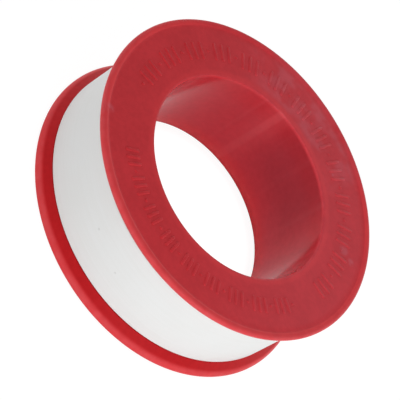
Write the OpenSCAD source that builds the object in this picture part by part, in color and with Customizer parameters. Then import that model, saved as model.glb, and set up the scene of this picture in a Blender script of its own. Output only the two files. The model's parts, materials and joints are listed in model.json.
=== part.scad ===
// Thread seal tape roll: a spool of two moulded halves with a strip of thin film wound on it.
// The roll lies on the flange of its sleeve half. The axis is +Z, and the origin is on the
// surface below, on the axis. All lengths are in millimetres.

/* [Flanges] */
// Outside diameter of both flanges
flange_d = 52; // [50:0.5:60]
// Thickness of a flange where it meets the hub
root_t = 2.2; // [1.9:0.05:3]
// Radial width of the bevel on a flange's inner face, outside the tape
bevel_w = 1.65; // [1.2:0.05:2]
// How far that bevel falls away from the tape on its way out to the rim
bevel_rise = 1.5; // [0.8:0.05:1.5]
// Height of the raised rim above the outer face
rim_rise = 0.2; // [0.1:0.05:0.6]
// Radial width of the raised rim, with its slope
rim_w = 1.35; // [1.3:0.05:2]
// Radial width of the slope from the outer face up to the rim
rim_slope = 0.5; // [0.3:0.05:0.6]
// Rounding of the rim's outer corner
rim_edge_r = 0.4; // [0.2:0.05:0.6]

/* [Hub] */
// Diameter of the bore
bore_d = 32.9; // [30:0.1:34]
// Wall of the inner tube
tube_wall = 0.9; // [0.7:0.05:1.2]
// Wall of the outer sleeve
sleeve_wall = 0.9; // [0.7:0.05:1.2]
// Radial clearance of the tube in the sleeve
slip_fit = 0.05; // [0.02:0.01:0.1]
// Rounding of the bore's edge at both ends
lip_r = 0.5; // [0.2:0.05:0.6]
// Lead-in chamfer on the tube's foot and on the sleeve's mouth
lead_in = 0.3; // [0.15:0.05:0.35]

/* [Tape] */
// Width of the tape
tape_w = 12; // [10:0.5:20]
// Depth of the wound tape on the hub
wound_depth = 6; // [2:0.25:7]
// Thickness of the film
film_t = 0.075; // [0.075:0.025:0.2]
// Gap between each edge of the tape and the flange beside it
side_gap = 0.15; // [0.1:0.05:0.6]
// Radial clearance between the wound tape and the sleeve
hub_gap = 0.05; // [0.02:0.01:0.1]
// Air between the outer turn and the turns below it
layer_gap = 0.05; // [0.03:0.01:0.1]

/* [Free end] */
// Length of the loose end of the tape
end_len = 15; // [12:1:30]
// Bare stretch under the loose end, from its root to where the outer turn begins
under_len = 10; // [9.5:0.5:11]
// Slit between the outer turn and the root of the loose end
root_slit = 0.15; // [0.1:0.05:0.4]
// Direction of the loose end's root, seen from above
root_deg = 75; // [0:5:355]

/* [Hidden] */
$fn = 128;

// One overrun serves all cuts and all overlaps of one profile
overrun = 0.2;

// The loose end springs open: its curve is this many times as wide as the roll
end_curl_share = 1.4;
// The largest rounding that a rim of a given thickness takes
edge_share = 0.48;
// The largest lip or lead-in that one side of a hub wall takes
lip_share = 0.56;
lead_in_share = 0.34;
// The fillet at the sleeve's root stays below the edge of the tape
fillet_share = 0.7;
// Number of points on which the gaps of the film are measured
gap_points = 240;
// Angle of a full turn
full_turn = 360;

// Radii of the hub, from the bore outwards
bore_r = bore_d / 2;
tube_r = bore_r + tube_wall;
sleeve_bore_r = tube_r + slip_fit;
sleeve_r = sleeve_bore_r + sleeve_wall;
lip = min(lip_r, lip_share * tube_wall);
lead = min(lead_in, lead_in_share * min(tube_wall, sleeve_wall));

// Section of a flange, measured from its inner face at the hub
flange_r = flange_d / 2;
flange_h = root_t + rim_rise;
rim_t = flange_h - bevel_rise;
edge_r = min(rim_edge_r, edge_share * rim_t, edge_share * rim_w);
rim_edge_x = flange_r - edge_r;
rim_in_r = flange_r - rim_w;
rim_top_x = rim_in_r + rim_slope;
bevel_in_r = flange_r - bevel_w;
root_fillet = fillet_share * side_gap;

// Heights along the axis
inner_w = tape_w + 2 * side_gap;
sleeve_foot_z = flange_h;
seat_z = sleeve_foot_z + inner_w;
tape_z = sleeve_foot_z + side_gap;
face_z = rim_rise;

// The film
core_in_r = sleeve_r + hub_gap;
tape_r = core_in_r + wound_depth;
turn_in_r = tape_r - film_t;
core_r = turn_in_r - layer_gap;
film_r = tape_r - film_t / 2;
end_r = film_r * end_curl_share;
deg_per_mm = full_turn / (2 * PI * film_r);
turn_end_deg = root_deg - root_slit * deg_per_mm;
turn_deg = full_turn - (root_slit + under_len) * deg_per_mm;
end_deg = end_len * full_turn / (2 * PI * end_r);
root_xy = film_r * [cos(root_deg), sin(root_deg)];
end_centre = root_xy - end_r * [cos(root_deg), sin(root_deg)];

// Measured gaps of the film: the two ends of the outer turn from each other, and the loose end
// from the start of the outer turn below it
function on_circle(centre, r, a) = centre + r * [cos(a), sin(a)];
function turn_point(i) =
    on_circle([0, 0], film_r, turn_end_deg - turn_deg + turn_deg * i / gap_points);
function end_point(i) = on_circle(end_centre, end_r, root_deg + end_deg * i / gap_points);
turn_points = [for (i = [0 : gap_points]) turn_point(i)];
end_points = [for (i = [0 : gap_points]) end_point(i)];
first_quarter = [for (i = [0 : gap_points / 4]) turn_points[i]];
last_quarter = [for (i = [gap_points * 3 / 4 : gap_points]) turn_points[i]];
function least_gap(a, b) = min([for (p = a) min([for (q = b) norm(p - q)])]) - film_t;
echo(outer_turn_gap_to_itself = least_gap(first_quarter, last_quarter));
echo(free_end_gap_to_outer_turn = least_gap(first_quarter, end_points));

// Corner that a convex rounding takes away. The corner is at the origin, the solid on +x and -y.
module rounded_off(r) {
    difference() {
        translate([-overrun, -r]) square([r + overrun, r + overrun]);
        translate([r, -r]) circle(r);
        translate([r, -r - overrun]) square([overrun, r]);
    }
}

// Concave fillet in the corner of a wall on the left and a floor below
module filled_in(r) {
    difference() {
        translate([-overrun, -overrun]) square([r + overrun, r + overrun]);
        translate([r, r]) circle(r);
    }
}

// Corner that a chamfer takes away. The corner is at the origin, the solid on +x and -y.
module chamfered_off(c) {
    polygon([[-overrun, -c - overrun], [c + overrun, overrun], [-overrun, overrun]]);
}

// Section of a flange with its inner face down, from a hole's wall to the bevelled and rounded rim
module flange_section(hole_r) {
    polygon([
        [hole_r, 0],
        [bevel_in_r, 0],
        [flange_r, bevel_rise],
        [flange_r, flange_h - edge_r],
        [rim_edge_x, flange_h],
        [rim_top_x, flange_h],
        [rim_in_r, root_t],
        [hole_r, root_t]
    ]);
    translate([rim_edge_x, flange_h - edge_r]) circle(edge_r);
}

// Flange and full-length inner tube in one moulding. Its inner face sits on the sleeve's mouth.
module spool_tube_half() {
    foot_y = face_z - seat_z;
    color("#b4323a")
    translate([0, 0, seat_z])
    rotate_extrude()
    difference() {
        union() {
            flange_section(bore_r);
            translate([bore_r, foot_y]) square([tube_wall, root_t - foot_y]);
        }
        translate([bore_r, root_t]) rounded_off(lip);
        translate([bore_r, foot_y]) mirror([0, 1]) rounded_off(lip);
        translate([tube_r, foot_y]) mirror([1, 0]) mirror([0, 1]) chamfered_off(lead);
    }
}

// Flange and outer sleeve in one moulding. The roll stands on its rim.
module spool_sleeve_half() {
    color("#b4323a")
    translate([0, 0, sleeve_foot_z])
    rotate_extrude()
    difference() {
        union() {
            mirror([0, 1]) flange_section(sleeve_bore_r);
            translate([sleeve_bore_r, -root_t]) square([sleeve_wall, inner_w + root_t]);
            translate([sleeve_r, 0]) filled_in(root_fillet);
        }
        translate([sleeve_bore_r, inner_w]) chamfered_off(lead);
    }
}

// All the inner turns of the film, wound tight into one ring on the sleeve
module tape_roll() {
    color("#e8e8e6")
    translate([0, 0, tape_z])
    rotate_extrude()
    translate([core_in_r, 0])
    square([core_r - core_in_r, tape_w]);
}

// A stretch of the film on edge, bent round the Z axis from one direction to another
module film(r, from_deg, bend_deg) {
    rotate([0, 0, from_deg])
    rotate_extrude(angle = bend_deg)
    translate([r - film_t / 2, 0])
    square([film_t, tape_w]);
}

// The outermost turn, which stops where the loose end begins
module tape_outer_turn() {
    color("#e8e8e6")
    translate([0, 0, tape_z])
    film(film_r, turn_end_deg - turn_deg, turn_deg);
}

// The loose end, which leaves the roll on a wider curve and lifts about its root
module tape_free_end() {
    color("#efefec")
    translate([end_centre[0], end_centre[1], tape_z])
    film(end_r, root_deg, end_deg);
}

spool_sleeve_half();
spool_tube_half();
tape_roll();
tape_outer_turn();
tape_free_end();
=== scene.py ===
# Thread seal tape roll: two moulded spool halves, their moulded marks, the wound film and its free end.
import json
import math
import random
from typing import NamedTuple

import bmesh
import bpy
from bpy.props import FloatProperty, FloatVectorProperty, IntProperty, PointerProperty
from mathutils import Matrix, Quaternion, Vector, noise


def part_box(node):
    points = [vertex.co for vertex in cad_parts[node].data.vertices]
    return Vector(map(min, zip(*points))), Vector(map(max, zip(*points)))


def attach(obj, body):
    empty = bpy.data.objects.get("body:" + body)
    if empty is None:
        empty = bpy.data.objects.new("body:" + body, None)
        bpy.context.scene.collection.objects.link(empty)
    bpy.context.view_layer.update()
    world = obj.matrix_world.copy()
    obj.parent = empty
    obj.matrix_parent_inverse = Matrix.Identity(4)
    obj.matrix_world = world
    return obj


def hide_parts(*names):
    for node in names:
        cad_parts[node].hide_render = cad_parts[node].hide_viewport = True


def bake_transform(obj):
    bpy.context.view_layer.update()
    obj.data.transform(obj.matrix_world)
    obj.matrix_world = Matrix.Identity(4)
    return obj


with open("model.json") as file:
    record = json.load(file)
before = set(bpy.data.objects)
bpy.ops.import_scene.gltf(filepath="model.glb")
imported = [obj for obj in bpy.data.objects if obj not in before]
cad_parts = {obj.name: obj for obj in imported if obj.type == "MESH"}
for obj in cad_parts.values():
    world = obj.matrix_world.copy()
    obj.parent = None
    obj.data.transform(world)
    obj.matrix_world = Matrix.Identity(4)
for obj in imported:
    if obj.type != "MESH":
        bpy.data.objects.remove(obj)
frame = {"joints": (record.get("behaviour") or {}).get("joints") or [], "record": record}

bl_info = {
    "name": "Thread seal tape roll",
    "version": (1, 0, 0),
    "blender": (4, 5, 0),
    "location": "3D View > Sidebar > Tape roll",
    "description": "Builds the looks of a thread seal tape roll round its frame",
    "category": "Object",
}

MM = 0.001
FULL_TURN = 2 * math.pi

# Places that the frame gives, in metres
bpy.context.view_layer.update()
TUBE_LOW, TUBE_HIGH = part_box("spool_tube_half")
_, SLEEVE_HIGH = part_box("spool_sleeve_half")
ROLL_LOW, ROLL_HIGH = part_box("tape_roll")
MOUNTS = {mount["name"]: mount for mount in frame["record"]["mounts"]}
JOINTS = {joint["name"]: joint for joint in frame["joints"]}
FILM_ROOT = Vector(JOINTS["free_end_lifts"]["pos_m"])
FILM_RADIUS = FILM_ROOT.xy.length
ROOT_ANGLE = math.atan2(FILM_ROOT.y, FILM_ROOT.x)
BORE_RADIUS = MOUNTS["bore"]["dims"]["r_mm"] * MM
FLANGE_RADIUS = TUBE_HIGH.x
RIM_TOP = TUBE_HIGH.z
RIM_RISE = TUBE_LOW.z
FACE_TOP = RIM_TOP - RIM_RISE
SEAT = SLEEVE_HIGH.z
MID_HEIGHT = RIM_TOP / 2
CORE_RADIUS = ROLL_HIGH.x

# One group of the moulded marks: the place of each stroke in pitches, and its share of the height
STROKE_SHARES = ((-1.0, 1.0), (0.0, 1.0), (1.0, 1.0), (2.0, 0.15))

# Section of a stroke, from its sunk foot to its soft top: shares of its relief and of its half width
STROKE_SECTION_SHARES = ((-0.5, 0.0), (0.0, 0.0), (0.65, 0.18), (1.0, 0.5))
STROKE_END_STEPS = 6

# Dusty spots on the upper flange: radius in millimetres, direction in degrees, size in millimetres
DUST_SPOTS = ((21.1, 32, 1.2), (22.9, 29, 0.9), (24.8, -137, 1.1), (19.8, 68.5, 0.35))

# Specks on the film's outermost turn: direction in degrees, height and size in millimetres
FILM_SPECKS = ((-99.7, 9.4, 0.3), (-84.2, 7.8, 0.25))

# Steps of the wound film round the axis, rings of each of its ridges, and size of its uneven patches
ROLL_STEPS = 160
RIDGE_RINGS = 4
UNEVEN_PATCH = 4 * MM

# Steps of the outer turn, along and across, and how it comes out from below the free end
TURN_STEPS = 240
TURN_COLUMNS = 16
EMERGING_STEPS = 12
EMERGING_DEPTH = 4

# Steps of the free end, along and across, its torn tip, and the stretch that bends at its root
END_STEPS = 60
END_COLUMNS = 40
TEAR_SEED = 7
TEAR_REACH_POWER = 6

# How fast the sky's light falls off with height, the snoot's lamp, and the camera's near and far limits
SKY_POWER = 2.0
SNOOT_LAMP_RADIUS = 1 * MM
NEAR_LIMIT = 10 * MM
FAR_LIMIT = 100


def length(name, description, millimetres):
    """A length that a user may change."""
    return FloatProperty(
        name=name, description=description, default=millimetres * MM, unit="LENGTH", precision=5
    )


def angle(name, description, degrees):
    """An angle that a user may change."""
    return FloatProperty(
        name=name, description=description, default=math.radians(degrees), subtype="ANGLE"
    )


def share(name, description, value):
    """A number from nought to one that a user may change."""
    return FloatProperty(
        name=name, description=description, default=value, min=0, max=1, subtype="FACTOR"
    )


def level(name, description, value):
    """A strength that a user may change."""
    return FloatProperty(name=name, description=description, default=value, min=0)


def count(name, description, value):
    """A whole number that a user may change."""
    return IntProperty(name=name, description=description, default=value, min=1)


def colour(name, description, value):
    """A colour that a user may change."""
    return FloatVectorProperty(
        name=name, description=description, default=(*value, 1), size=4, min=0, max=1, subtype="COLOR"
    )


class TapeRollSpool(bpy.types.PropertyGroup):
    """Sizes and finish of the two moulded spool halves."""

    wall: length("Hub wall", "Thickness of the tube and of the sleeve round it", 0.9)
    slip_fit: length("Slip fit", "Radial clearance of the tube in the sleeve", 0.05)
    bevel_width: length("Bevel width", "Radial width of the bevel on a flange's inner face", 1.65)
    bevel_rise: length("Bevel rise", "How far that bevel falls away from the tape at the rim", 1.5)
    bevel_reach: length("Bevel reach", "How far the rounding of the bevel's edge runs over the bevel", 0.75)
    bevel_drop: length("Bevel drop", "How far the rounding of the bevel's edge runs over the side", 0.42)
    rim_width: length("Rim width", "Radial width of the raised rim", 1.2)
    rim_slope: length("Rim slope", "Radial width of the slope up to the rim", 0.45)
    rim_step: length("Rim step", "Rounding at the foot and at the top of that slope", 0.22)
    rim_crown: length("Rim crown", "How far the rim's outer rounding runs over its top", 0.45)
    rim_edge: length("Rim edge", "How far the rim's outer rounding runs over its side", 0.42)
    lip_reach: length("Lip reach", "How far the rounding of the bore's edge runs over the face", 0.4)
    lip_drop: length("Lip drop", "How far the rounding of the bore's edge runs into the bore", 0.25)
    foot_drop: length("Foot drop", "How far the rounding of the tube's foot runs into the bore", 0.3)
    foot_reach: length("Foot reach", "How far the rounding of the tube's foot runs over its end", 0.25)
    lead_in: length("Lead-in", "Chamfer on the tube's foot and on the sleeve's mouth", 0.3)
    root_fillet: length("Root fillet", "Fillet where the sleeve meets its flange", 0.1)
    soft_edge: length("Soft edge", "Rounding of the other moulded corners", 0.08)
    segments: count("Segments", "Steps round the axis", 256)
    red: colour("Red", "Pigment of the outer faces", (0.67, 0.031, 0.039))
    deep_red: colour("Deep red", "Darker clouds in that pigment", (0.63, 0.028, 0.035))
    # Painted shade: the bore's pigment is darker than the outer faces, standing in for the shade inside the
    # tube
    bore_shade_red: colour("Bore red", "Pigment of the bore", (0.535, 0.031, 0.045))
    # Painted shade: multiplies one side of the upper bore darker
    bore_painted_shade: colour("Bore stain", "Tint of the deeper stretch of the bore", (0.78, 0.86, 0.9))
    # Painted shade: multiplies the bore darker and deeper red just below its lip
    bore_top_shade: colour("Bore top", "Tint of the bore below its lip", (0.97, 0.7, 0.72))
    mottle: colour("Mottle", "Tint of the fine mottling in the pigment", (0.93, 0.88, 0.89))
    # Painted shade: a darker, deeper red on the sheltered faces beside the tape, where the tape shades them
    sheltered_shade_red: colour("Fresh red", "Pigment of the sheltered faces beside the tape", (0.54, 0.012, 0.015))
    # Paled by rubbing and by painted highlights: rims lit more on one side, the bore's lip and the tube's
    # foot
    pale_red_rub_and_highlight: colour("Pale red", "Rubbed edges of the rims", (0.79, 0.044, 0.049))
    # Scuffs and painted highlights on the outermost rims, and painted light at the tube's foot
    scuff_and_light: colour("Scuff", "Scuffed outermost edges of the rims", (0.77, 0.1, 0.11))
    flow_mark: colour("Flow mark", "Pale flow marks along the bore", (0.9, 0.2, 0.22))
    # Also used for painted sheen: the pale cast on one side of the face and low in the bore
    dust_and_sheen: colour("Dust", "Pale bloom and specks on the face", (0.6, 0.5, 0.63))
    gloss: share("Gloss", "Specular level of the plastic", 0.095)
    gloss_tint: colour("Gloss tint", "Cool cast of the plastic's sheen", (0.75, 0.85, 1))
    face_roughness: share("Face roughness", "Satin finish of the flanges", 0.4)
    bore_roughness: share("Bore roughness", "Polished finish of the bore", 0.17)
    # Bloom and painted sheen: direction of the paler side of the face
    sheen_and_dust_side: angle("Dusty side", "Direction of the side with the pale bloom", 45)
    patchy_side: angle("Patchy side", "Direction of the thickest patches of bloom", 96)
    # Rubbing and painted light: the rims are paler everywhere but on this side
    least_worn_and_lit_side: angle("Fresh side", "Direction of the least rubbed stretch of the rims", 112)
    flow_side: angle("Flow side", "Direction of the strongest flow mark", 107)
    # Painted shade: direction of the darker stretch of the bore
    shade_side: angle("Stain side", "Direction of the deeper stretch of the bore", 72)
    # Painted sheen: direction of the pale stretch low in the bore
    sheen_side: angle("Haze side", "Direction of the hazy stretch low in the bore", 38)


class TapeRollMarks(bpy.types.PropertyGroup):
    """Two rows of low moulded strokes on the upper flange."""

    relief: length("Relief", "Height of the strokes above the face", 0.13)
    stroke: length("Stroke width", "Width of one stroke", 0.56)
    row_radius: length("Row radius", "Radius of the middle of both rows", 20.7)
    large_height: length("Large row", "Radial height of the large row", 3)
    small_height: length("Small row", "Radial height of the small row", 2.5)
    large_start: angle("Large row start", "Direction of the first group of the large row", 8)
    large_pitch: angle("Large row pitch", "Angle between strokes of the large row", 3.9)
    large_groups: count("Large groups", "Number of groups in the large row", 13)
    small_start: angle("Small row start", "Direction of the first group of the small row", -120)
    small_pitch: angle("Small row pitch", "Angle between strokes of the small row", 3.1)
    small_groups: count("Small groups", "Number of groups in the small row", 9)


class TapeRollFilm(bpy.types.PropertyGroup):
    """Sizes and finish of the wound film and its free end."""

    thickness: length("Film thickness", "Thickness of the film", 0.075)
    hub_gap: length("Hub gap", "Clearance between the wound film and the sleeve", 0.05)
    bare_stretch: length("Bare stretch", "Length under the free end where the turn below shows", 10)
    free_length: length("Free length", "Length of the free end", 15)
    free_curl: level("Free curl", "Curve of the free end, in times the radius of the roll", 1.4)
    bands: count("Bands", "Ridges on the sides of the roll, counted from the bore to its outside", 26)
    ridge: length("Ridge", "Depth of the grooves between those ridges", 0.05)
    uneven: length("Uneven sides", "Unevenness of the sides of the roll", 0.09)
    tear: length("Tear", "Raggedness of the torn tip", 0.9)
    white: colour("White", "Colour of the film", (0.853, 0.868, 0.862))
    shade: colour("Shade", "Thinner streaks in the film", (0.838, 0.851, 0.841))
    speck: colour("Speck", "Small specks in the film", (0.45, 0.45, 0.43))
    roughness: share("Roughness", "Soft finish of the film", 0.5)
    gloss: share("Gloss", "Specular level of the film", 0.3)


class TapeRollStage(bpy.types.PropertyGroup):
    """Camera, light and floor."""

    lens: FloatProperty(
        name="Lens", description="Focal length in millimetres", default=185.7, subtype="DISTANCE_CAMERA"
    )
    distance: length("Distance", "Distance from the camera to the middle of the roll", 312.53)
    elevation: angle("Elevation", "Height of the camera above the horizon", 42.626)
    roll: angle("Roll", "Turn of the camera about its line of sight", 58.727)
    aim_x: length("Aim X", "Point looked at, along X", -0.153)
    aim_y: length("Aim Y", "Point looked at, along Y", -1.623)
    floor_size: length("Floor size", "Side of the floor", 6000)
    floor_white: colour("Floor white", "Colour of the floor", (0.9, 0.9, 0.9))
    floor_shown: share("Floor shown", "Share of the white background that the floor shows by itself", 0.93)
    floor_shadow: share("Floor shadow", "Share of the light that keeps the shadow on the floor", 0.14)
    horizon: level("Horizon", "Strength of the soft light from the sides", 1.78)
    zenith: level("Zenith", "Strength of the soft light from above", 0.29)
    key: level("Key", "Strength of the soft box", 0.23)
    key_size: length("Key size", "Side of the soft box", 110)
    key_distance: length("Key distance", "Distance of the soft box from the roll", 150)
    key_azimuth: angle("Key azimuth", "Direction of the soft box round the axis", -48)
    key_elevation: angle("Key elevation", "Height of the soft box above the horizon", 22)
    fill: level("Fill", "Strength of the small soft box on the other side", 0.055)
    fill_size: length("Fill size", "Side of that box", 60)
    fill_distance: length("Fill distance", "Distance of that box from the roll", 110)
    fill_azimuth: angle("Fill azimuth", "Direction of that box round the axis", 38)
    fill_elevation: angle("Fill elevation", "Height of that box above the horizon", 48)
    snoot: level("Snoot", "Strength of the narrow lamp that shines down the bore on the floor", 0.95)
    snoot_height: length("Snoot height", "Height of that lamp above the floor", 500)
    snoot_reach: share("Snoot reach", "Radius of its light on the floor, in bore radii", 0.95)
    snoot_blend: share("Snoot blend", "Softness of the edge of its light", 0.2)


def rounded(corners, steps=8, support=0.02 * MM):
    """A closed outline through corners, each a point with its cuts before and after, eased with a curve."""
    outline = []
    for i, (here, before, after) in enumerate(corners):
        back = (corners[i - 1][0] - here).normalized()
        ahead = (corners[(i + 1) % len(corners)][0] - here).normalized()
        outline.append(here + back * (before + support))
        for step in range(steps + 1):
            turn = math.pi / 2 * step / steps
            eased = back * before * (1 - math.sin(turn)) + ahead * after * (1 - math.cos(turn))
            outline.append(here + eased)
        outline.append(here + ahead * (after + support))
    return outline


def corner(radius, height, cut, cut_after=None):
    """A corner of an outline and how far its rounding reaches along both its sides."""
    return Vector((radius, height)), cut, cut if cut_after is None else cut_after


def finish_mesh(name, bm, sharp_angle=math.radians(40)):
    """A smooth object from a bmesh, sharp where its faces meet at more than the angle."""
    bmesh.ops.recalc_face_normals(bm, faces=bm.faces)
    mesh = bpy.data.meshes.new(name)
    bm.to_mesh(mesh)
    bm.free()
    mesh.shade_smooth()
    mesh.set_sharp_from_angle(angle=sharp_angle)
    made = bpy.data.objects.new(name, mesh)
    bpy.context.scene.collection.objects.link(made)
    return made


def stitch(bm, rows, closed=True):
    """Four-sided faces between neighbouring rings of vertices, back to the first ring if closed."""
    columns = len(rows[0])
    for i in range(len(rows) if closed else len(rows) - 1):
        here = rows[i]
        there = rows[(i + 1) % len(rows)]
        for j in range(columns):
            k = (j + 1) % columns
            bm.faces.new((here[j], there[j], there[k], here[k]))


def lathe(name, outline, segments):
    """A closed outline of radii and heights, turned round the axis."""
    bm = bmesh.new()
    rows = []
    for step in range(segments):
        turn = FULL_TURN * step / segments
        across = Vector((math.cos(turn), math.sin(turn), 0))
        rows.append([bm.verts.new(across * p.x + Vector((0, 0, p.y))) for p in outline])
    stitch(bm, rows)
    return finish_mesh(name, bm)


def dress(piece, material, slot, body, *nodes):
    """Gives a piece its material and the body that it rides on, and hides the nodes that it stands for; the
    slot is not used.
    """
    piece.data.materials.append(material)
    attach(piece, body)
    if nodes:
        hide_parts(*nodes)


def add_node(tree, kind, inputs=None, **settings):
    """A shader node with its settings, and with inputs that are values or links."""
    made = tree.nodes.new(kind)
    for name, value in settings.items():
        setattr(made, name, value)
    for key, value in (inputs or {}).items():
        if isinstance(value, bpy.types.NodeSocket):
            tree.links.new(value, made.inputs[key])
        else:
            made.inputs[key].default_value = value
    return made


class Fade(NamedTuple):
    """A smooth change of a value: the two limits that it lies between, and the levels at them."""

    low: float
    high: float
    low_level: float = 0.0
    high_level: float = 1.0


def fade_mm(low, high, low_level=0.0, high_level=1.0):
    """A fade whose limits are given in millimetres."""
    return Fade(low * MM, high * MM, low_level, high_level)


# Sockets of a Mix node that mixes colours
MIX_FACTOR = 0
MIX_FIRST = 6
MIX_SECOND = 7
MIX_COLOUR = 2

# Grain of the noise, its middle range, and the solid share of a soft spot or speck
CLOUD_ROUGHNESS = 0.55
CLOUD_RANGE = (0.3, 0.7)
SPOT_CORE_SHARE = 1 / 3
SPECK_CORE_SHARE = 1 / 2
INVERTED = Fade(0.0, 1.0, 1.0, 0.0)

# Depth of the bump in both finishes
BUMP_DEPTH = 0.004 * MM

# Patterns in the moulded plastic, in features for each metre
PIGMENT_SCALE = 140
PATCH_SCALE = 260
FLECK_SCALE = 300
# Pattern of the rubbed edges, which also carries their painted highlights
RUB_AND_HIGHLIGHT_SCALE = 420
SCUFF_AND_LIGHT_SCALE = 600
DUST_SCALE = 900
DRAW_LINE_SCALE = 900
DRAW_LINE_STRETCH = (1, 1, 0.02)
MOTTLE_SCALE = 1100
GRAIN_SCALE = 1500
SPARKLE_SCALE = 4000

# Flow marks change with the direction alone, so their scale is in features for each unit of it
FLOW_SCALE = 9

# Contrasts of those patterns: limits in the noise, and the levels that they give
PIGMENT_CLOUDS = Fade(0.35, 0.65)
PATCH_CLOUDS = Fade(0.42, 0.66, 0.0, 0.07)
DUST_CLOUDS = Fade(0.35, 0.6, 0.02, 0.08)
FLOW_CLOUDS = Fade(0.5, 0.75, 0.0, 0.07)
MOTTLE_CLOUDS = Fade(*CLOUD_RANGE)
RUB_AND_HIGHLIGHT_CLOUDS = Fade(*CLOUD_RANGE, 0.5, 0.9)
SCUFF_AND_LIGHT_CLOUDS = Fade(*CLOUD_RANGE, 0.4, 1.0)
SPARKLE_CLOUDS = Fade(*CLOUD_RANGE, -0.06, 0.06)

# Stretches round the axis: limits in the cosine of the angle from the middle of each
# Bloom and painted sheen on one side of the face
SHEEN_AND_DUST_STRETCH = Fade(-0.7, 0.8, 0.0, 0.034)
PATCHY_STRETCH = Fade(0.75, 0.97)
# Rims paler by rubbing and by painted light, least on one side
LEAST_WORN_AND_LIT_STRETCH = Fade(0.45, 0.95, 0.95, 0.15)
# Painted shade in the bore, on one side
SHADE_STRETCH = Fade(0.83, 0.99)
# Painted sheen low in the bore, on one side
SHEEN_STRETCH = Fade(0.8, 0.97, 0.0, 0.018)
FLOW_STRETCH = Fade(0.985, 0.9995, 0.0, 0.07)
FLOW_LINE = Fade(0.9985, 0.9999, 0.0, 0.12)

# Distances outwards from the bore's wall
BLOOM_INSIDE = fade_mm(0.6, 2.0)
# Rubbing and painted highlight on the face beside the bore's lip
LIP_RUB_AND_HIGHLIGHT = fade_mm(1.4, 0.6, 0.0, 0.55)
# Painted highlight on the lip's rounding
LIP_HIGHLIGHT_LINE = fade_mm(0.7, 0.3, 0.0, 0.75)

# Distances outwards from the flange's edge
BLOOM_OUTSIDE = fade_mm(-1.4, -2.2, 0.45, 1.0)
RIM_SIDE = fade_mm(-0.8, -0.1)
# Scuffs and painted highlights on the rims' outermost rounding
RIM_SCUFF_AND_HIGHLIGHT = fade_mm(-0.7, -0.1, 0.0, 0.55)

# Distances upwards from the upper face
UPPER_SKIN = fade_mm(-0.8, -0.2)
BLOOM_SKIN = fade_mm(-0.6, -0.1)
LIP_HIGHLIGHT_SKIN = fade_mm(-0.45, -0.15)
# Where the bore's painted shade starts below the lip
SHADE_BELOW_LIP = fade_mm(-0.2, -0.8)
# Where the painted shade below the lip starts
TINT_BELOW_LIP = fade_mm(-0.3, -0.9)

# Distances upwards from the lower face and from the tube's foot
LOWER_SKIN = fade_mm(0.8, 0.2)
# Painted light low in the bore, by the tube's foot
FOOT_PAINTED_LIGHT = fade_mm(4, 0)
FOOT_PAINTED_LIGHT_PATCHES = fade_mm(2.2, 0.6, 0.0, 0.4)

# Heights in the bore
# Heights over which the bore's painted shade comes in
SHADE_HEIGHT = fade_mm(2, 9)
# Heights over which the bore's painted sheen grows downwards
SHEEN_HEIGHT = fade_mm(10, 3)
# Heights over which the painted shade below the lip comes in
TINT_HEIGHT = fade_mm(11.5, 15)
FLOW_HEIGHT = Fade(0.0, RIM_TOP, 0.4, 1.0)

# Thin bloom all over the upper face, strength of the painted light at the tube's foot, and the flecks of
# dust
THIN_BLOOM = 0.014
FOOT_PAINTED_LIGHT_LEVEL = 0.7
FLECK_SIZE = 0.06
FLECK_RARITY = 0.86
FLECK_LEVEL = 0.35

# Patterns in the film: scales in features for each metre, stretches and contrasts
STREAK_SCALE = 60
STREAK_DETAIL = 3
STREAK_STRETCH = (1, 1, 40)
STREAK_CLOUDS = Fade(0.15, 0.35)
FILM_CLOUD_SCALE = 90
TURN_EDGE_SCALE = 5000
TURN_EDGE_STRETCH = (1, 1, 0.2)
ROUGHNESS_SPREAD = 0.05
SPECK_SCALE = 130
SPECK_SIZE = 0.025
SPECK_RARITY = 0.8
SPECK_LEVEL = 0.3


def calc(tree, operation, *values):
    """The result of a Math node."""
    return add_node(tree, "ShaderNodeMath", dict(enumerate(values)), operation=operation).outputs[0]


def product(tree, first, *others):
    """Several masks multiplied."""
    for other in others:
        first = calc(tree, "MULTIPLY", first, other)
    return first


def largest(tree, first, *others):
    """The largest of several masks."""
    for other in others:
        first = calc(tree, "MAXIMUM", first, other)
    return first


def ease(tree, value, fade, start=0.0):
    """A value that goes smoothly through a fade, whose limits are counted from a start."""
    inputs = {
        "Value": value,
        "From Min": start + fade.low,
        "From Max": start + fade.high,
        "To Min": fade.low_level,
        "To Max": fade.high_level,
    }
    made = add_node(tree, "ShaderNodeMapRange", inputs, interpolation_type="SMOOTHSTEP")
    return made.outputs["Result"]


def mix(tree, factor, first, second, blend="MIX"):
    """A colour between two colours, or the first one multiplied by part of the second."""
    inputs = {MIX_FACTOR: factor, MIX_FIRST: first, MIX_SECOND: second}
    made = add_node(tree, "ShaderNodeMix", inputs, data_type="RGBA", blend_type=blend)
    return made.outputs[MIX_COLOUR]


def vector_calc(tree, operation, *values):
    """A Vector Math node."""
    return add_node(tree, "ShaderNodeVectorMath", dict(enumerate(values)), operation=operation)


def clouds(tree, place, scale, detail=2.0, stretch=(1, 1, 1)):
    """Soft noise at a scale in features for each metre, stretched along the axes."""
    spread = vector_calc(tree, "MULTIPLY", place, stretch).outputs[0]
    inputs = {"Vector": spread, "Scale": scale, "Detail": detail, "Roughness": CLOUD_ROUGHNESS}
    return add_node(tree, "ShaderNodeTexNoise", inputs).outputs["Fac"]


def specks(tree, place, scale, size, rarity):
    """A mask of few small round specks, one at most in each cell of the given scale."""
    cell = add_node(tree, "ShaderNodeTexVoronoi", {"Vector": place, "Scale": scale})
    near = ease(tree, cell.outputs["Distance"], Fade(size, size * SPECK_CORE_SHARE))
    chosen = calc(tree, "GREATER_THAN", cell.outputs["Color"], rarity)
    return product(tree, near, chosen)


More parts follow.
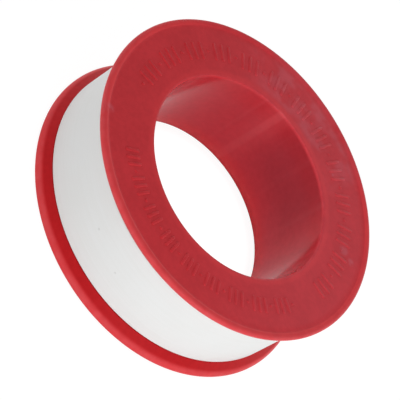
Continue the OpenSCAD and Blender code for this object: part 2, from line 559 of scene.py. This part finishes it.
def spot(tree, place, turn, radius, height, size):
    """Mask of a soft round spot at a place given by its direction, radius and height."""
    middle = Vector((math.cos(turn) * radius, math.sin(turn) * radius, height))
    apart = vector_calc(tree, "DISTANCE", place, middle).outputs["Value"]
    return ease(tree, apart, Fade(size, size * SPOT_CORE_SHARE))


def new_material(name):
    """A material with its node tree, its shader and the object's own coordinates."""
    material = bpy.data.materials.new(name)
    material.use_nodes = True
    tree = material.node_tree
    shader = tree.nodes["Principled BSDF"]
    place = add_node(tree, "ShaderNodeTexCoord").outputs["Object"]
    return material, tree, shader, place


def from_axis(tree, place):
    """Distance from the axis, direction away from it, and height."""
    flat = vector_calc(tree, "MULTIPLY", place, (1, 1, 0)).outputs[0]
    radius = vector_calc(tree, "LENGTH", flat).outputs["Value"]
    outward = vector_calc(tree, "NORMALIZE", flat).outputs[0]
    height = add_node(tree, "ShaderNodeSeparateXYZ", {0: place}).outputs["Z"]
    return radius, outward, height


def facing(tree, outward, turn):
    """How far a direction away from the axis agrees with an angle round it, from minus one to one."""
    side = Vector((math.cos(turn), math.sin(turn), 0))
    return vector_calc(tree, "DOT_PRODUCT", outward, side).outputs["Value"]


def rough_surface(tree, shader, height):
    """Fine bump from a height between nought and one."""
    inputs = {"Height": height, "Strength": 1.0, "Distance": BUMP_DEPTH}
    bump = add_node(tree, "ShaderNodeBump", inputs)
    tree.links.new(bump.outputs["Normal"], shader.inputs["Normal"])


def dust_spots(tree, place):
    """Mask of the few dusty spots on the upper flange."""
    dusty = 0.0
    for radius, degrees, size in DUST_SPOTS:
        one = spot(tree, place, math.radians(degrees), radius * MM, FACE_TOP, size * MM)
        dusty = largest(tree, dusty, one)
    return product(tree, dusty, ease(tree, clouds(tree, place, DUST_SCALE), DUST_CLOUDS))


def bloom_on_face(tree, look, place):
    """Mask of the pale bloom on the upper face: thin all over, thicker on one side as bloom together with
    painted sheen, and in patches.
    """
    radius, outward, height = from_axis(tree, place)
    # Paler towards one side: bloom together with painted sheen
    wide = ease(tree, facing(tree, outward, look.sheen_and_dust_side), SHEEN_AND_DUST_STRETCH)
    close = ease(tree, facing(tree, outward, look.patchy_side), PATCHY_STRETCH)
    patches = ease(tree, clouds(tree, place, PATCH_SCALE), PATCH_CLOUDS)
    inside = ease(tree, radius, BLOOM_INSIDE, BORE_RADIUS)
    outside = ease(tree, radius, BLOOM_OUTSIDE, FLANGE_RADIUS)
    bloom = calc(tree, "ADD", wide, product(tree, close, patches, inside))
    everywhere = calc(tree, "MULTIPLY_ADD", bloom, outside, THIN_BLOOM)
    everywhere = calc(tree, "ADD", everywhere, dust_spots(tree, place))
    return product(tree, everywhere, ease(tree, height, BLOOM_SKIN, FACE_TOP))


def exposed_faces(tree, look, place):
    """Masks of the open surfaces that the painted shade beside the tape leaves out, of the bore, and of the
    pale edges, paled by rubbing, by painted highlights and by painted light.
    """
    radius, outward, height = from_axis(tree, place)
    upper = ease(tree, height, UPPER_SKIN, FACE_TOP)
    lower = ease(tree, height, LOWER_SKIN, RIM_RISE)
    faces = largest(tree, upper, lower)
    bore = ease(tree, radius, Fade(look.wall / 2, look.wall / 4), BORE_RADIUS)
    # Rubbing and painted highlight: the face paler beside the lip
    lip = product(tree, faces, ease(tree, radius, LIP_RUB_AND_HIGHLIGHT, BORE_RADIUS))
    # Painted highlight: a pale line on the lip's rounding
    lip_highlight = ease(tree, radius, LIP_HIGHLIGHT_LINE, BORE_RADIUS)
    lip_highlight = product(tree, lip_highlight, ease(tree, height, LIP_HIGHLIGHT_SKIN, FACE_TOP))
    crest = FLANGE_RADIUS - look.rim_width + look.rim_slope
    slope = Fade(-look.rim_slope, -look.rim_slope / 2)
    crests = product(tree, faces, ease(tree, radius, slope, crest))
    sides = ease(tree, radius, RIM_SIDE, FLANGE_RADIUS)
    # Rubbing and painted light: the rims paler everywhere but on one side
    worn_and_lit = ease(tree, facing(tree, outward, look.least_worn_and_lit_side), LEAST_WORN_AND_LIT_STRETCH)
    rims = product(tree, largest(tree, crests, sides), worn_and_lit)
    # Painted light: the bore paler towards the tube's foot
    foot = product(tree, bore, ease(tree, height, FOOT_PAINTED_LIGHT, TUBE_LOW.z), FOOT_PAINTED_LIGHT_LEVEL)
    return largest(tree, faces, sides, bore), bore, largest(tree, rims, lip, lip_highlight, foot)


def bore_painted_shade(tree, look, place):
    """Mask of painted shade: the darker stretch in the upper part of the bore."""
    _, outward, height = from_axis(tree, place)
    near_side = ease(tree, facing(tree, outward, look.shade_side), SHADE_STRETCH)
    below_lip = ease(tree, height, SHADE_BELOW_LIP, FACE_TOP)
    return product(tree, near_side, below_lip, ease(tree, height, SHADE_HEIGHT))


def bore_painted_sheen(tree, look, place):
    """Mask of painted sheen: the pale hazy stretch low in the bore."""
    _, outward, height = from_axis(tree, place)
    near_side = ease(tree, facing(tree, outward, look.sheen_side), SHEEN_STRETCH)
    return product(tree, near_side, ease(tree, height, SHEEN_HEIGHT))


def flow_marks(tree, look, place):
    """Mask of pale marks along the bore, one of them strong."""
    radius, outward, height = from_axis(tree, place)
    faint = ease(tree, clouds(tree, outward, FLOW_SCALE), FLOW_CLOUDS)
    beside = facing(tree, outward, look.flow_side)
    strong = calc(tree, "ADD", ease(tree, beside, FLOW_STRETCH), ease(tree, beside, FLOW_LINE))
    rising = ease(tree, height, FLOW_HEIGHT)
    in_bore = ease(tree, radius, Fade(look.lip_reach, 0), BORE_RADIUS)
    return product(tree, largest(tree, faint, strong), rising, in_bore)


def bore_tints(tree, look, place, bore, pigment):
    """The pigment with the bore's painted shade on one side, its painted shade below the lip and its
    painted sheen low down.
    """
    _, _, height = from_axis(tree, place)
    # Painted shade: the bore darkened on one side
    painted_shade = product(tree, bore, bore_painted_shade(tree, look, place))
    pigment = mix(tree, painted_shade, pigment, look.bore_painted_shade, "MULTIPLY")
    # Painted shade: the bore darker and deeper red just below the lip
    below_lip = product(tree, bore, ease(tree, height, TINT_HEIGHT))
    below_lip = product(tree, below_lip, ease(tree, height, TINT_BELOW_LIP, FACE_TOP))
    pigment = mix(tree, below_lip, pigment, look.bore_top_shade, "MULTIPLY")
    # Painted sheen: a pale cast low in the bore on one side
    painted_sheen = product(tree, bore, bore_painted_sheen(tree, look, place))
    return mix(tree, painted_sheen, pigment, look.dust_and_sheen)


def wear_and_light_tints(tree, look, place, bore, edges, pigment):
    """The pigment with its pale edges, paled by rubbing and by painted highlights, and with scuffs and
    painted highlights on the rims and painted light at the tube's foot.
    """
    radius, _, height = from_axis(tree, place)
    # Rubbing and painted highlights: the pale edges mixed towards the pale red
    rubbed = product(tree, edges, ease(tree, clouds(tree, place, RUB_AND_HIGHLIGHT_SCALE), RUB_AND_HIGHLIGHT_CLOUDS))
    pigment = mix(tree, rubbed, pigment, look.pale_red_rub_and_highlight)
    # Scuffs and painted highlights on the rims' outermost rounding
    rims = ease(tree, radius, RIM_SCUFF_AND_HIGHLIGHT, FLANGE_RADIUS)
    # Painted light: clouded pale patches low in the bore at the tube's foot
    foot = product(tree, bore, ease(tree, height, FOOT_PAINTED_LIGHT_PATCHES, TUBE_LOW.z))
    scuff_and_light_clouds = ease(tree, clouds(tree, place, SCUFF_AND_LIGHT_SCALE), SCUFF_AND_LIGHT_CLOUDS)
    return mix(tree, product(tree, largest(tree, rims, foot), scuff_and_light_clouds), pigment, look.scuff_and_light)


def satin_finish(tree, shader, look, place, bore):
    """Sheen of the plastic: satin faces with a fine grain, and a smooth polished bore."""
    radius, _, _ = from_axis(tree, place)
    polish = Fade(look.lip_reach, 0, look.face_roughness, look.bore_roughness)
    sparkle = ease(tree, clouds(tree, place, SPARKLE_SCALE), SPARKLE_CLOUDS)
    roughness = calc(tree, "ADD", ease(tree, radius, polish, BORE_RADIUS), sparkle)
    tree.links.new(roughness, shader.inputs["Roughness"])
    shader.inputs["Specular IOR Level"].default_value = look.gloss
    shader.inputs["Specular Tint"].default_value = look.gloss_tint
    grain = clouds(tree, place, GRAIN_SCALE)
    draw_lines = clouds(tree, place, DRAW_LINE_SCALE, 1, DRAW_LINE_STRETCH)
    texture = product(tree, calc(tree, "ADD", grain, draw_lines), ease(tree, bore, INVERTED))
    rough_surface(tree, shader, texture)


def moulded_red(name, look, dusty):
    """Satin red moulding with clouded pigment, painted shade in the bore and beside the tape, a polished
    bore, rims paled by rubbing and by painted highlights, fine grain and specks.
    """
    material, tree, shader, place = new_material(name)
    exposed, bore, edges = exposed_faces(tree, look, place)
    clouded = ease(tree, clouds(tree, place, PIGMENT_SCALE), PIGMENT_CLOUDS)
    pigment = mix(tree, clouded, look.deep_red, look.red)
    # Painted shade: faces outside the open mask take the darker sheltered red
    # Painted shade: the bore takes its darker bore red
    pigment = mix(tree, bore, mix(tree, exposed, look.sheltered_shade_red, pigment), look.bore_shade_red)
    pigment = bore_tints(tree, look, place, bore, pigment)
    mottle = ease(tree, clouds(tree, place, MOTTLE_SCALE), MOTTLE_CLOUDS)
    pigment = mix(tree, mottle, pigment, look.mottle, "MULTIPLY")
    pigment = wear_and_light_tints(tree, look, place, bore, edges, pigment)
    pigment = mix(tree, flow_marks(tree, look, place), pigment, look.flow_mark)
    flecks = specks(tree, place, FLECK_SCALE, FLECK_SIZE, FLECK_RARITY)
    pigment = mix(tree, product(tree, flecks, FLECK_LEVEL), pigment, look.dust_and_sheen)
    if dusty:
        pigment = mix(tree, bloom_on_face(tree, look, place), pigment, look.dust_and_sheen)
    tree.links.new(pigment, shader.inputs["Base Color"])
    satin_finish(tree, shader, look, place, bore)
    return material


def soft_white_film(name, look):
    """Soft white film with streaks along its length, turn edges on its sides and a few specks."""
    material, tree, shader, place = new_material(name)
    radius, _, height = from_axis(tree, place)
    streaks = clouds(tree, place, STREAK_SCALE, STREAK_DETAIL, STREAK_STRETCH)
    cloudy = product(tree, streaks, clouds(tree, place, FILM_CLOUD_SCALE))
    tone = mix(tree, ease(tree, cloudy, STREAK_CLOUDS), look.shade, look.white)
    tone = mix(tree, specks(tree, place, SPECK_SCALE, SPECK_SIZE, SPECK_RARITY), tone, look.speck)
    for degrees, speck_height, size in FILM_SPECKS:
        one = spot(tree, place, math.radians(degrees), FILM_RADIUS, speck_height * MM, size * MM)
        tone = mix(tree, product(tree, one, SPECK_LEVEL), tone, look.speck)
    tree.links.new(tone, shader.inputs["Base Color"])
    smoothest = look.roughness - ROUGHNESS_SPREAD
    roughest = look.roughness + ROUGHNESS_SPREAD
    roughness = ease(tree, streaks, Fade(*CLOUD_RANGE, smoothest, roughest))
    tree.links.new(roughness, shader.inputs["Roughness"])
    shader.inputs["Specular IOR Level"].default_value = look.gloss
    section = add_node(tree, "ShaderNodeCombineXYZ", {"X": radius, "Y": 0.0, "Z": height}).outputs[0]
    turn_edges = clouds(tree, section, TURN_EDGE_SCALE, stretch=TURN_EDGE_STRETCH)
    rough_surface(tree, shader, calc(tree, "ADD", streaks, turn_edges))
    return material


def tube_outline(look):
    """Half section of the tube half: bore, face, raised rim, bevelled inner face, seat, tube and foot."""
    tube_radius = BORE_RADIUS + look.wall
    rim_foot = FLANGE_RADIUS - look.rim_width
    return rounded([
        corner(BORE_RADIUS, FACE_TOP, look.lip_drop, look.lip_reach),
        corner(rim_foot, FACE_TOP, look.rim_step),
        corner(rim_foot + look.rim_slope, RIM_TOP, look.rim_step),
        corner(FLANGE_RADIUS, RIM_TOP, look.rim_crown, look.rim_edge),
        corner(FLANGE_RADIUS, SEAT + look.bevel_rise, look.bevel_drop, look.bevel_reach),
        corner(FLANGE_RADIUS - look.bevel_width, SEAT, look.soft_edge),
        corner(tube_radius, SEAT, look.soft_edge),
        corner(tube_radius, TUBE_LOW.z + look.lead_in, look.soft_edge),
        corner(tube_radius - look.lead_in, TUBE_LOW.z, look.soft_edge),
        corner(BORE_RADIUS, TUBE_LOW.z, look.foot_reach, look.foot_drop),
    ])


def sleeve_outline(look):
    """Half section of the sleeve half: mouth, sleeve, root, bevelled inner face, raised rim and face."""
    hole_radius = BORE_RADIUS + look.wall + look.slip_fit
    sleeve_radius = hole_radius + look.wall
    rim_foot = FLANGE_RADIUS - look.rim_width
    flange_top = RIM_TOP - SEAT
    return rounded([
        corner(hole_radius, SEAT - look.lead_in, look.soft_edge),
        corner(hole_radius + look.lead_in, SEAT, look.soft_edge),
        corner(sleeve_radius, SEAT, look.soft_edge),
        corner(sleeve_radius, flange_top, look.root_fillet),
        corner(FLANGE_RADIUS - look.bevel_width, flange_top, look.soft_edge),
        corner(FLANGE_RADIUS, flange_top - look.bevel_rise, look.bevel_reach, look.bevel_drop),
        corner(FLANGE_RADIUS, 0, look.rim_edge, look.rim_crown),
        corner(rim_foot + look.rim_slope, 0, look.rim_step),
        corner(rim_foot, RIM_RISE, look.rim_step),
        corner(hole_radius, RIM_RISE, look.soft_edge),
    ])


class TAPEROLL_OT_spool_halves(bpy.types.Operator):
    """Turn the two moulded halves of the spool from their half sections"""

    bl_idname = "taperoll.spool_halves"
    bl_label = "Spool halves"

    def execute(self, context):
        look = context.scene.tape_roll_spool
        tube = lathe("tube_half_moulding", tube_outline(look), look.segments)
        # This material also carries painted sheen on one side of the upper face
        dust_and_sheen_red = moulded_red("moulded_red_dust_and_sheen", look, True)
        dress(tube, dust_and_sheen_red, "spool_plastic", "tube_half", "spool_tube_half")
        sleeve = lathe("sleeve_half_moulding", sleeve_outline(look), look.segments)
        red = moulded_red("moulded_red", look, False)
        dress(sleeve, red, "spool_plastic", "sleeve_half", "spool_sleeve_half")
        return {"FINISHED"}


def raised_stroke(bm, look, turn, long_half):
    """One stroke with round ends, drafted sides and a soft top, standing on the upper face."""
    outward = Vector((math.cos(turn), math.sin(turn), 0))
    sideways = Vector((-outward.y, outward.x, 0))
    middle = outward * look.row_radius + Vector((0, 0, FACE_TOP))
    half = look.stroke / 2
    rows = []
    for rise_share, inset_share in STROKE_SECTION_SHARES:
        rise = Vector((0, 0, look.relief * rise_share))
        row = []
        for i in range(2 * STROKE_END_STEPS + 2):
            end = 1 if i <= STROKE_END_STEPS else -1
            bend = math.pi * (i if end > 0 else i - 1) / STROKE_END_STEPS - math.pi / 2
            round_way = outward * math.cos(bend) + sideways * math.sin(bend)
            round_part = round_way * (half - half * inset_share)
            straight_part = outward * end * max(long_half - half, 0)
            row.append(bm.verts.new(middle + round_part + straight_part + rise))
        rows.append(row)
    stitch(bm, rows, closed=False)
    bm.faces.new(rows[0])
    bm.faces.new(rows[-1])


def stroke_row(bm, look, height, pitch, start, groups):
    """A row of stroke groups along an arc of the face."""
    step = len(STROKE_SHARES) * pitch
    for group in range(groups):
        for place, height_share in STROKE_SHARES:
            turn = start + step * group + place * pitch
            raised_stroke(bm, look, turn, height_share * height / 2)


class TAPEROLL_OT_moulded_marks(bpy.types.Operator):
    """Raise two rows of plain strokes on the upper flange"""

    bl_idname = "taperoll.moulded_marks"
    bl_label = "Moulded marks"

    def execute(self, context):
        look = context.scene.tape_roll_marks
        bm = bmesh.new()
        stroke_row(bm, look, look.large_height, look.large_pitch, look.large_start, look.large_groups)
        stroke_row(bm, look, look.small_height, look.small_pitch, look.small_start, look.small_groups)
        marks = finish_mesh("moulded_marks", bm)
        red = bpy.data.materials["moulded_red_dust_and_sheen"]
        dress(marks, red, "spool_plastic", "tube_half")
        return {"FINISHED"}


def side_recess(look, radius, turn):
    """How far the side of the roll lies back at a place: grooves between spiral ridges, and unevenness."""
    phase = look.bands * (radius - BORE_RADIUS) / (CORE_RADIUS - BORE_RADIUS) - turn / FULL_TURN
    groove = look.ridge * (1 - math.cos(FULL_TURN * phase)) / 2
    patch = Vector((math.cos(turn), math.sin(turn), 0)) * radius / UNEVEN_PATCH
    return groove + look.uneven * (1 + noise.noise(patch)) / 2


class TAPEROLL_OT_wound_film(bpy.types.Operator):
    """Wind the film into a roll whose turns show on both sides"""

    bl_idname = "taperoll.wound_film"
    bl_label = "Wound film"

    def execute(self, context):
        look = context.scene.tape_roll_film
        spool = context.scene.tape_roll_spool
        inner = BORE_RADIUS + 2 * spool.wall + spool.slip_fit + look.hub_gap
        rings = look.bands * RIDGE_RINGS
        radii = [inner + (CORE_RADIUS - inner) * i / rings for i in range(rings + 1)]
        bm = bmesh.new()
        rows = []
        for step in range(ROLL_STEPS):
            turn = FULL_TURN * step / ROLL_STEPS
            across = Vector((math.cos(turn), math.sin(turn), 0))
            recess = [side_recess(look, radius, turn) for radius in radii]
            upper = [across * r + Vector((0, 0, ROLL_HIGH.z - back)) for r, back in zip(radii, recess)]
            lower = [across * r + Vector((0, 0, ROLL_LOW.z + back)) for r, back in zip(radii, recess)]
            rows.append([bm.verts.new(p) for p in upper + lower[::-1]])
        stitch(bm, rows)
        roll = finish_mesh("wound_film", bm)
        dress(roll, soft_white_film("soft_white_film", look), "film", "tape", "tape_roll")
        return {"FINISHED"}


def film_solid(name, look, stations):
    """A strip of film with its thickness, from rows of points across it and their directions outwards."""
    bm = bmesh.new()
    half = look.thickness / 2
    rows = []
    for row in stations:
        outer = [bm.verts.new(point + away * half) for point, away in row]
        inner = [bm.verts.new(point - away * half) for point, away in row]
        rows.append(outer + inner[::-1])
    stitch(bm, rows, closed=False)
    for row in (rows[0], rows[-1]):
        columns = len(row) // 2
        for j in range(columns - 1):
            bm.faces.new((row[j], row[j + 1], row[-2 - j], row[-1 - j]))
    return finish_mesh(name, bm)


def across_film(columns):
    """Heights across the width of the film, from one edge to the other."""
    return [ROLL_LOW.z + (ROLL_HIGH.z - ROLL_LOW.z) * j / columns for j in range(columns + 1)]


class TAPEROLL_OT_outer_turn(bpy.types.Operator):
    """Lay the outermost turn of the film round the roll"""

    bl_idname = "taperoll.outer_turn"
    bl_label = "Outer turn"

    def execute(self, context):
        look = context.scene.tape_roll_film
        start = ROOT_ANGLE + look.bare_stretch / FILM_RADIUS
        sweep = FULL_TURN - look.bare_stretch / FILM_RADIUS
        depth = EMERGING_DEPTH * look.thickness
        heights = across_film(TURN_COLUMNS)
        stations = []
        for i in range(TURN_STEPS + 1):
            turn = start + sweep * i / TURN_STEPS
            away = Vector((math.cos(turn), math.sin(turn), 0))
            emerged = min(1, i / EMERGING_STEPS)
            radius = FILM_RADIUS - depth * (1 - emerged) ** 2
            stations.append([(away * radius + Vector((0, 0, z)), away) for z in heights])
        turn_piece = film_solid("film_outer_turn", look, stations)
        dress(turn_piece, bpy.data.materials["soft_white_film"], "film", "tape", "tape_outer_turn")
        return {"FINISHED"}


class TAPEROLL_OT_free_end(bpy.types.Operator):
    """Let the torn end of the film spring away from the roll"""

    bl_idname = "taperoll.free_end"
    bl_label = "Free end"

    def execute(self, context):
        look = context.scene.tape_roll_film
        draw = random.Random(TEAR_SEED)
        curl_radius = FILM_RADIUS * look.free_curl
        outward = Vector((math.cos(ROOT_ANGLE), math.sin(ROOT_ANGLE), 0))
        centre = outward * (FILM_RADIUS - curl_radius)
        torn = [look.tear * draw.random() ** 2 for _ in range(END_COLUMNS + 1)]
        stations = []
        for i in range(END_STEPS + 1):
            part = i / END_STEPS
            row = []
            for z, missing in zip(across_film(END_COLUMNS), torn):
                reach = part * (look.free_length - missing * part ** TEAR_REACH_POWER)
                turn = ROOT_ANGLE + reach / curl_radius
                away = Vector((math.cos(turn), math.sin(turn), 0))
                row.append((centre + away * curl_radius + Vector((0, 0, z)), away))
            stations.append(row)
        end = film_solid("film_free_end", look, stations)
        end.data.materials.append(bpy.data.materials["soft_white_film"])
        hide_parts("tape_free_end")
        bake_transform(end)
        return {"FINISHED"}


def seen_directly(tree):
    """One for rays that show the background: from the camera, off gloss or through clear things."""
    path = add_node(tree, "ShaderNodeLightPath").outputs
    return largest(tree, path["Is Camera Ray"], path["Is Glossy Ray"], path["Is Transmission Ray"])


def floor_material(look):
    """White floor that shows as background and keeps the shadow of the object."""
    material = bpy.data.materials.new("studio_floor")
    material.use_nodes = True
    tree = material.node_tree
    tree.nodes.clear()
    lit = add_node(tree, "ShaderNodeBsdfDiffuse", {"Color": look.floor_white}).outputs[0]
    glow = add_node(tree, "ShaderNodeEmission", {"Strength": look.floor_shown}).outputs[0]
    shadow = add_node(tree, "ShaderNodeBsdfDiffuse", {"Color": (*[look.floor_shadow] * 3, 1)}).outputs[0]
    shown = add_node(tree, "ShaderNodeAddShader", {0: glow, 1: shadow}).outputs[0]
    both = add_node(tree, "ShaderNodeMixShader", {0: seen_directly(tree), 1: lit, 2: shown}).outputs[0]
    add_node(tree, "ShaderNodeOutputMaterial", {"Surface": both})
    material.cycles.emission_sampling = "NONE"
    return material


def studio_sky(look):
    """Soft light from all round, white where it shows."""
    world = bpy.data.worlds.new("studio_sky")
    world.use_nodes = True
    tree = world.node_tree
    tree.nodes.clear()
    towards = add_node(tree, "ShaderNodeTexCoord").outputs["Generated"]
    rise = add_node(tree, "ShaderNodeSeparateXYZ", {0: towards}).outputs["Z"]
    upward = largest(tree, rise, 0.0)
    low = calc(tree, "POWER", calc(tree, "SUBTRACT", 1.0, upward), SKY_POWER)
    strength = calc(tree, "MULTIPLY_ADD", low, look.horizon - look.zenith, look.zenith)
    white = (1, 1, 1, 1)
    light = add_node(tree, "ShaderNodeBackground", {"Color": white, "Strength": strength}).outputs[0]
    shown = add_node(tree, "ShaderNodeBackground", {"Color": white, "Strength": 1.0}).outputs[0]
    both = add_node(tree, "ShaderNodeMixShader", {0: seen_directly(tree), 1: light, 2: shown}).outputs[0]
    add_node(tree, "ShaderNodeOutputWorld", {"Surface": both})
    return world


def direction(azimuth, elevation):
    """Unit vector towards a place round the axis and above the horizon."""
    level_part = Vector((math.cos(azimuth), math.sin(azimuth), 0)) * math.cos(elevation)
    return level_part + Vector((0, 0, math.sin(elevation)))


class TAPEROLL_OT_stage(bpy.types.Operator):
    """Set up the camera, the soft light and the white floor"""

    bl_idname = "taperoll.stage"
    bl_label = "Stage"

    def execute(self, context):
        look = context.scene.tape_roll_stage
        scene = context.scene
        scene.view_settings.view_transform = "Standard"
        scene.world = studio_sky(look)
        self.add_floor(look)
        key = (look.key, look.key_size, look.key_distance, look.key_azimuth, look.key_elevation)
        fill = (look.fill, look.fill_size, look.fill_distance, look.fill_azimuth, look.fill_elevation)
        self.add_soft_box(scene, "soft_box", *key)
        self.add_soft_box(scene, "fill_box", *fill)
        self.add_snoot(scene, look)
        self.add_camera(scene, look)
        return {"FINISHED"}

    def add_floor(self, look):
        """A wide floor below the roll."""
        bm = bmesh.new()
        bmesh.ops.create_grid(bm, x_segments=1, y_segments=1, size=look.floor_size / 2)
        floor = finish_mesh("studio_floor", bm)
        floor.data.materials.append(floor_material(look))

    def add_soft_box(self, scene, name, strength, size, distance, azimuth, elevation):
        """A square lamp that faces the roll, as bright there at any distance."""
        light = bpy.data.lights.new(name, "AREA")
        light.size = size
        light.energy = strength * math.pi ** 2 * distance ** 2
        lamp = bpy.data.objects.new(name, light)
        scene.collection.objects.link(lamp)
        towards = direction(azimuth, elevation)
        lamp.location = Vector((0, 0, MID_HEIGHT)) + towards * distance
        lamp.rotation_mode = "QUATERNION"
        lamp.rotation_quaternion = towards.to_track_quat("Z", "Y")

    def add_snoot(self, scene, look):
        """A narrow lamp above the bore, as bright on the floor at any height."""
        light = bpy.data.lights.new("bore_snoot", "SPOT")
        light.energy = look.snoot * (2 * math.pi * look.snoot_height) ** 2
        light.spot_size = 2 * math.atan(look.snoot_reach * BORE_RADIUS / look.snoot_height)
        light.spot_blend = look.snoot_blend
        light.shadow_soft_size = SNOOT_LAMP_RADIUS
        lamp = bpy.data.objects.new("bore_snoot", light)
        scene.collection.objects.link(lamp)
        lamp.location = (0, 0, look.snoot_height)

    def add_camera(self, scene, look):
        """The camera at the viewing angle of the photograph."""
        data = bpy.data.cameras.new("photo_camera")
        data.lens = look.lens
        data.clip_start = NEAR_LIMIT
        data.clip_end = FAR_LIMIT
        camera = bpy.data.objects.new("photo_camera", data)
        scene.collection.objects.link(camera)
        back = direction(-math.pi / 2, look.elevation)
        camera.location = Vector((look.aim_x, look.aim_y, MID_HEIGHT)) + back * look.distance
        camera.rotation_mode = "QUATERNION"
        roll = Quaternion((0, 0, 1), look.roll)
        camera.rotation_quaternion = (-back).to_track_quat("-Z", "Y") @ roll
        scene.camera = camera


class TAPEROLL_PT_sidebar(bpy.types.Panel):
    """Lists the pieces of the tape roll and its stage"""

    bl_idname = "TAPEROLL_PT_sidebar"
    bl_label = "Tape roll"
    bl_space_type = "VIEW_3D"
    bl_region_type = "UI"
    bl_category = "Tape roll"

    def draw(self, context):
        for operator in OPERATORS:
            self.layout.operator(operator.bl_idname)


SETTINGS = {
    "tape_roll_spool": TapeRollSpool,
    "tape_roll_marks": TapeRollMarks,
    "tape_roll_film": TapeRollFilm,
    "tape_roll_stage": TapeRollStage,
}
OPERATORS = (
    TAPEROLL_OT_stage,
    TAPEROLL_OT_spool_halves,
    TAPEROLL_OT_moulded_marks,
    TAPEROLL_OT_wound_film,
    TAPEROLL_OT_outer_turn,
    TAPEROLL_OT_free_end,
)


def register():
    """Registers the classes and puts the settings on the scene."""
    for cls in (*SETTINGS.values(), *OPERATORS, TAPEROLL_PT_sidebar):
        bpy.utils.register_class(cls)
    for name, cls in SETTINGS.items():
        setattr(bpy.types.Scene, name, PointerProperty(type=cls))


def unregister():
    """Takes the settings off the scene and unregisters the classes."""
    for name in SETTINGS:
        delattr(bpy.types.Scene, name)
    for cls in reversed((*SETTINGS.values(), *OPERATORS, TAPEROLL_PT_sidebar)):
        bpy.utils.unregister_class(cls)


def main():
    register()
    bpy.ops.taperoll.stage()
    bpy.ops.taperoll.spool_halves()
    bpy.ops.taperoll.moulded_marks()
    bpy.ops.taperoll.wound_film()
    bpy.ops.taperoll.outer_turn()
    bpy.ops.taperoll.free_end()


if __name__ == "__main__":
    main()
